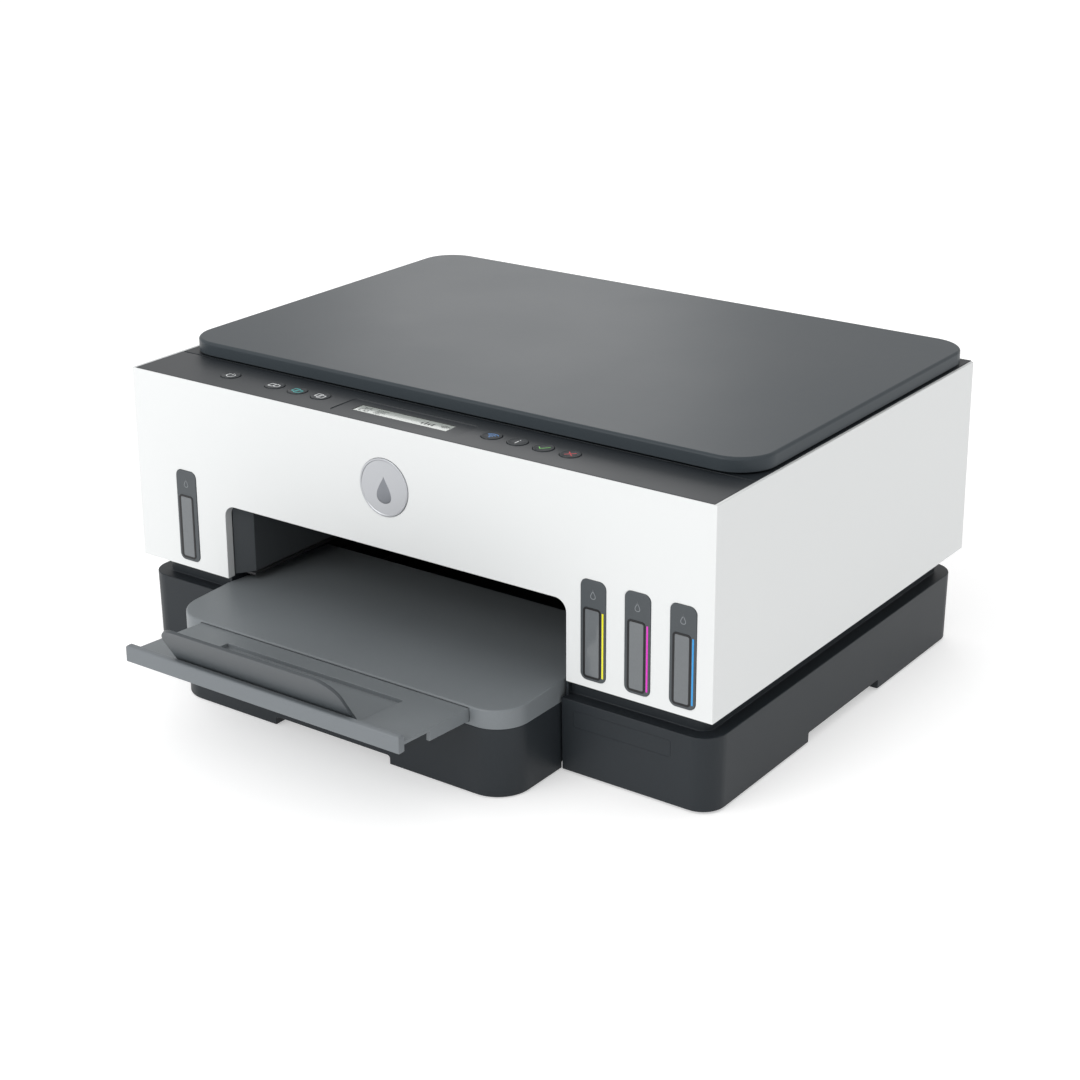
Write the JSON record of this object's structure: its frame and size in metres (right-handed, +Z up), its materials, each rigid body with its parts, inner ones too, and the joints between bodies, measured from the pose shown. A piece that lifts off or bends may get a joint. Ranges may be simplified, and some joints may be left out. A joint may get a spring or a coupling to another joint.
{
  "type": "inkjet printer",
  "caption": "All-in-one inkjet printer with flatbed scanner, refillable ink tanks with sight windows, control panel, paper drawer and extending output tray.",
  "frame": {"origin": "on the table under the middle of the printer's box, tray extension included", "axes": "+Z up, +X to the printer's right seen from the front, +Y from the front to the rear"},
  "size_m": [0.447, 0.4578, 0.2035],
  "materials": {
    "charcoal": "fine satin moulded",
    "black_plastic": "matt moulded",
    "rubber": "matt",
    "white_gloss": "smooth satin gloss",
    "white_pad": "soft foam sheet",
    "mid_grey": "fine satin moulded",
    "light_grey": "fine satin moulded",
    "clear_pane": "smoked clear",
    "silver": "satin silver",
    "screen": "segment display",
    "key": "satin keycap",
    "glass": "polished",
    "steel": "zinc plated",
    "gear_plastic": "natural acetal",
    "shaft": "ground with rubber rollers",
    "service": "matt",
    "board": "solder mask",
    "tank": "translucent smoked",
    "cap_black": "matt",
    "cap_yellow": "matt",
    "cap_magenta": "matt",
    "cap_cyan": "matt"
  },
  "bodies": {
    "chassis": {"base_case": "charcoal", "feet": "rubber", "power_inlet": "black_plastic", "usb_port": "black_plastic", "power_supply": "black_plastic", "main_board": "board", "rear_cover": "black_plastic", "bay_liner": "black_plastic", "main_frame": "steel", "feed_motor": "steel", "platen": "black_plastic", "service_station": "service", "carriage_rail": "steel", "carriage_motor": "steel", "carriage_belt": "rubber", "ink_tank_black": "tank", "ink_tank_yellow": "tank", "ink_tank_magenta": "tank", "ink_tank_cyan": "tank", "case_screws": "steel"},
    "rear_door": {"rear_door": "black_plastic"},
    "scanner_unit": {"upper_shell": "white_gloss", "window_bezels": "mid_grey", "window_panes": "clear_pane", "badge": "silver", "control_panel": "charcoal", "display": "screen", "scan_bed": "charcoal", "scan_glass": "glass"},
    "scan_bar": {"scan_bar": "black_plastic"},
    "lid": {"lid_cover": "mid_grey", "lid_pad": "white_pad"},
    "feed_shaft": {"feed_shaft": "shaft"},
    "idler_gear": {"idler_gear": "gear_plastic"},
    "exit_shaft": {"exit_shaft": "shaft"},
    "feed_pinion": {"feed_pinion": "gear_plastic"},
    "motor_pulley": {"motor_pulley": "gear_plastic"},
    "idler_pulley": {"idler_pulley": "gear_plastic"},
    "carriage": {"carriage": "black_plastic", "printhead": "black_plastic"},
    "drawer": {"paper_drawer": "charcoal", "output_tray": "mid_grey"},
    "extension": {"tray_extension": "mid_grey", "tray_lip": "light_grey"},
    "paper_stop": {"paper_stop": "mid_grey"},
    "width_guide_left": {"width_guide_left": "black_plastic"},
    "width_guide_right": {"width_guide_right": "black_plastic"},
    "length_guide": {"length_guide": "black_plastic"},
    "button_power": {"button_power": "key"},
    "button_resume": {"button_resume": "key"},
    "button_colour_copy": {"button_colour_copy": "key"},
    "button_black_copy": {"button_black_copy": "key"},
    "button_wireless": {"button_wireless": "key"},
    "button_information": {"button_information": "key"},
    "button_confirm": {"button_confirm": "key"},
    "button_cancel": {"button_cancel": "key"},
    "tank_cap_black": {"tank_cap_black": "cap_black"},
    "tank_cap_yellow": {"tank_cap_yellow": "cap_yellow"},
    "tank_cap_magenta": {"tank_cap_magenta": "cap_magenta"},
    "tank_cap_cyan": {"tank_cap_cyan": "cap_cyan"}
  },
  "joints": [
    {"name": "scanner_unit_hinge", "type": "hinge", "parent": "chassis", "child": "scanner_unit", "pos_m": [0, 0.21689, 0.184], "axis": [-1, 0, 0], "range_deg": [0, 35]},
    {"name": "lid_hinge", "type": "hinge", "parent": "scanner_unit", "child": "lid", "pos_m": [0, 0.22589, 0.1975], "axis": [-1, 0, 0], "range_deg": [0, 80]},
    {"name": "rear_door_hinge", "type": "hinge", "parent": "chassis", "child": "rear_door", "pos_m": [0, 0.21789, 0.078], "axis": [-1, 0, 0], "range_deg": [0, 60]},
    {"name": "scan_bar_slide", "type": "slide", "parent": "scanner_unit", "child": "scan_bar", "axis": [1, 0, 0], "range_m": [0, 0.27]},
    {"name": "feed_spin", "type": "hinge", "parent": "chassis", "child": "feed_shaft", "pos_m": [0, 0.10289, 0.073], "axis": [1, 0, 0], "continuous": true},
    {"name": "idler_spin", "type": "hinge", "parent": "chassis", "child": "idler_gear", "pos_m": [-0.1955, 0.05789, 0.073], "axis": [1, 0, 0], "continuous": true},
    {"name": "exit_spin", "type": "hinge", "parent": "chassis", "child": "exit_shaft", "pos_m": [0, 0.01289, 0.073], "axis": [1, 0, 0], "continuous": true},
    {"name": "pinion_spin", "type": "hinge", "parent": "chassis", "child": "feed_pinion", "pos_m": [-0.1955, 0.12464, 0.08314], "axis": [1, 0, 0], "continuous": true},
    {"name": "carriage_slide", "type": "slide", "parent": "chassis", "child": "carriage", "axis": [-1, 0, 0], "range_m": [0, 0.255]},
    {"name": "motor_pulley_spin", "type": "hinge", "parent": "chassis", "child": "motor_pulley", "pos_m": [0.185, 0.10689, 0.138], "axis": [0, 0, 1], "continuous": true},
    {"name": "idler_pulley_spin", "type": "hinge", "parent": "chassis", "child": "idler_pulley", "pos_m": [-0.185, 0.10689, 0.138], "axis": [0, 0, 1], "continuous": true},
    {"name": "drawer_slide", "type": "slide", "parent": "chassis", "child": "drawer", "axis": [0, -1, 0], "range_m": [0, 0.2]},
    {"name": "extension_slide", "type": "slide", "parent": "drawer", "child": "extension", "axis": [0, 0.998, -0.0628], "range_m": [0, 0.05]},
    {"name": "paper_stop_hinge", "type": "hinge", "parent": "extension", "child": "paper_stop", "pos_m": [0, -0.20671, 0.05696], "axis": [1, 0, 0], "range_deg": [-126.6, 0]},
    {"name": "width_guide_left_slide", "type": "slide", "parent": "drawer", "child": "width_guide_left", "axis": [1, 0, 0], "range_m": [0, 0.045]},
    {"name": "width_guide_right_slide", "type": "slide", "parent": "drawer", "child": "width_guide_right", "axis": [1, 0, 0], "range_m": [-0.045, 0]},
    {"name": "length_guide_slide", "type": "slide", "parent": "drawer", "child": "length_guide", "axis": [0, 1, 0], "range_m": [0, 0.12]},
    {"name": "button_power_press", "type": "slide", "parent": "scanner_unit", "child": "button_power", "axis": [0, 0, -1], "range_m": [0, 0.0008], "stiffness_N_per_m": 600, "springref_m": -0.001},
    {"name": "button_resume_press", "type": "slide", "parent": "scanner_unit", "child": "button_resume", "axis": [0, 0, -1], "range_m": [0, 0.0008], "stiffness_N_per_m": 600, "springref_m": -0.001},
    {"name": "button_colour_copy_press", "type": "slide", "parent": "scanner_unit", "child": "button_colour_copy", "axis": [0, 0, -1], "range_m": [0, 0.0008], "stiffness_N_per_m": 600, "springref_m": -0.001},
    {"name": "button_black_copy_press", "type": "slide", "parent": "scanner_unit", "child": "button_black_copy", "axis": [0, 0, -1], "range_m": [0, 0.0008], "stiffness_N_per_m": 600, "springref_m": -0.001},
    {"name": "button_wireless_press", "type": "slide", "parent": "scanner_unit", "child": "button_wireless", "axis": [0, 0, -1], "range_m": [0, 0.0008], "stiffness_N_per_m": 600, "springref_m": -0.001},
    {"name": "button_information_press", "type": "slide", "parent": "scanner_unit", "child": "button_information", "axis": [0, 0, -1], "range_m": [0, 0.0008], "stiffness_N_per_m": 600, "springref_m": -0.001},
    {"name": "button_confirm_press", "type": "slide", "parent": "scanner_unit", "child": "button_confirm", "axis": [0, 0, -1], "range_m": [0, 0.0008], "stiffness_N_per_m": 600, "springref_m": -0.001},
    {"name": "button_cancel_press", "type": "slide", "parent": "scanner_unit", "child": "button_cancel", "axis": [0, 0, -1], "range_m": [0, 0.0008], "stiffness_N_per_m": 600, "springref_m": -0.001},
    {"name": "tank_cap_black_hinge", "type": "hinge", "parent": "chassis", "child": "tank_cap_black", "pos_m": [-0.1797, -0.02511, 0.138], "axis": [-1, 0, 0], "range_deg": [0, 85]},
    {"name": "tank_cap_yellow_hinge", "type": "hinge", "parent": "chassis", "child": "tank_cap_yellow", "pos_m": [0.1426, -0.02511, 0.138], "axis": [-1, 0, 0], "range_deg": [0, 85]},
    {"name": "tank_cap_magenta_hinge", "type": "hinge", "parent": "chassis", "child": "tank_cap_magenta", "pos_m": [0.173, -0.02511, 0.138], "axis": [-1, 0, 0], "range_deg": [0, 85]},
    {"name": "tank_cap_cyan_hinge", "type": "hinge", "parent": "chassis", "child": "tank_cap_cyan", "pos_m": [0.2034, -0.02511, 0.138], "axis": [-1, 0, 0], "range_deg": [0, 85]}
  ],
  "couplings": [
    {"joint": "idler_spin", "follows": "feed_spin", "ratio": -0.66667},
    {"joint": "exit_spin", "follows": "feed_spin", "ratio": 1},
    {"joint": "pinion_spin", "follows": "feed_spin", "ratio": -3},
    {"joint": "motor_pulley_spin", "follows": "carriage_slide", "rad_per_m": -153.85},
    {"joint": "idler_pulley_spin", "follows": "carriage_slide", "rad_per_m": -153.85},
    {"joint": "width_guide_right_slide", "follows": "width_guide_left_slide", "ratio": -1}
  ]
}
